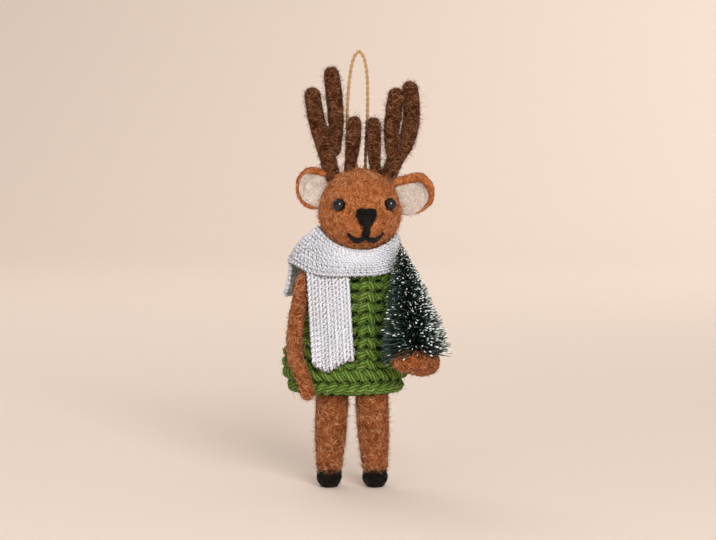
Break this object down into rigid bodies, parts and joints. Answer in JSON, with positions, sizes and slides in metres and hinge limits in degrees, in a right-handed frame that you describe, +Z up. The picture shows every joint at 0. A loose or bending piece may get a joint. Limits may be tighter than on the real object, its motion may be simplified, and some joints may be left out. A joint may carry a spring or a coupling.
{
  "type": "felted deer ornament",
  "caption": "Standing needle-felted deer ornament in a ribbed sweater and knitted scarf, with posable wire arms, a turning head, a bottle-brush tree in one arm and a twine loop to hang it by.",
  "frame": {"origin": "middle of the base on the floor the hooves stand on, under the middle of the deer's box without its hanging loop", "axes": "+Z up through the deer, -Y the way it faces, +X towards its own left side, where the tree is"},
  "size_m": [0.0736, 0.0602, 0.1969],
  "materials": {
    "brown_felt": "fuzzy felted wool",
    "dark_felt": "fuzzy felted wool",
    "black_felt": "felted wool",
    "white_felt": "felted wool",
    "core_felt": "felted wool",
    "green_knit": "chunky rib knit",
    "white_knit": "fine stocking knit",
    "jute": "two-ply twine",
    "bristle": "green bristle with white tips",
    "wire": "plain wire",
    "bead": "polished"
  },
  "bodies": {
    "body": {"torso": "core_felt", "sweater": "green_knit", "scarf_wrap": "white_knit", "leg_right": "brown_felt", "leg_left": "brown_felt", "leg_right_wire": "wire", "leg_left_wire": "wire", "hoof_right": "black_felt", "hoof_left": "black_felt", "neck_wire": "wire", "shoulder_wire": "wire"},
    "head": {"head": "brown_felt", "nose": "black_felt", "mouth_right": "black_felt", "mouth_left": "black_felt", "eye_right": "bead", "eye_left": "bead", "ear_right": "brown_felt", "ear_left": "brown_felt", "ear_right_lining": "white_felt", "ear_left_lining": "white_felt", "antler_right_beam": "dark_felt", "antler_right_upper_tine": "dark_felt", "antler_right_inner_tine": "dark_felt", "antler_right_pin": "wire", "antler_left_beam": "dark_felt", "antler_left_upper_tine": "dark_felt", "antler_left_inner_tine": "dark_felt", "antler_left_pin": "wire", "hanger_knot": "jute"},
    "hanger": {"hanger_loop": "jute"},
    "right_arm": {"arm_right": "brown_felt", "arm_right_wire": "wire"},
    "left_arm": {"arm_left": "brown_felt", "arm_left_wire": "wire", "tree_stem": "wire", "tree_bristles_1": "bristle", "tree_bristles_2": "bristle", "tree_bristles_3": "bristle", "tree_bristles_4": "bristle"},
    "front_tail": {"scarf_front_tail": "white_knit"},
    "back_tail": {"scarf_back_tail": "white_knit"}
  },
  "joints": [
    {"name": "head_turn", "type": "hinge", "parent": "body", "child": "head", "pos_m": [-0.0019, 0.00822, 0.107], "axis": [0, 0, 1], "range_deg": [-20, 20]},
    {"name": "right_shoulder", "type": "hinge", "parent": "body", "child": "right_arm", "pos_m": [-0.02507, 0.00288, 0.0966], "axis": [0, 1, 0], "range_deg": [0, 50]},
    {"name": "left_shoulder", "type": "hinge", "parent": "body", "child": "left_arm", "pos_m": [0.01608, 0.00288, 0.0966], "axis": [0, 0, 1], "range_deg": [0, 40]},
    {"name": "loop_fold", "type": "hinge", "parent": "head", "child": "hanger", "pos_m": [-0.00124, 0.01445, 0.14372], "axis": [-1, 0, 0], "range_deg": [0, 80], "stiffness_Nm_per_rad": 0.0003},
    {"name": "front_tail_lift", "type": "hinge", "parent": "body", "child": "front_tail", "pos_m": [-0.016, -0.00748, 0.0955], "axis": [-1, 0, 0], "range_deg": [0, 75]},
    {"name": "back_tail_lift", "type": "hinge", "parent": "body", "child": "back_tail", "pos_m": [-0.02939, 0.02128, 0.09974], "axis": [0.5185, 0.8551, 0], "range_deg": [0, 60]}
  ]
}
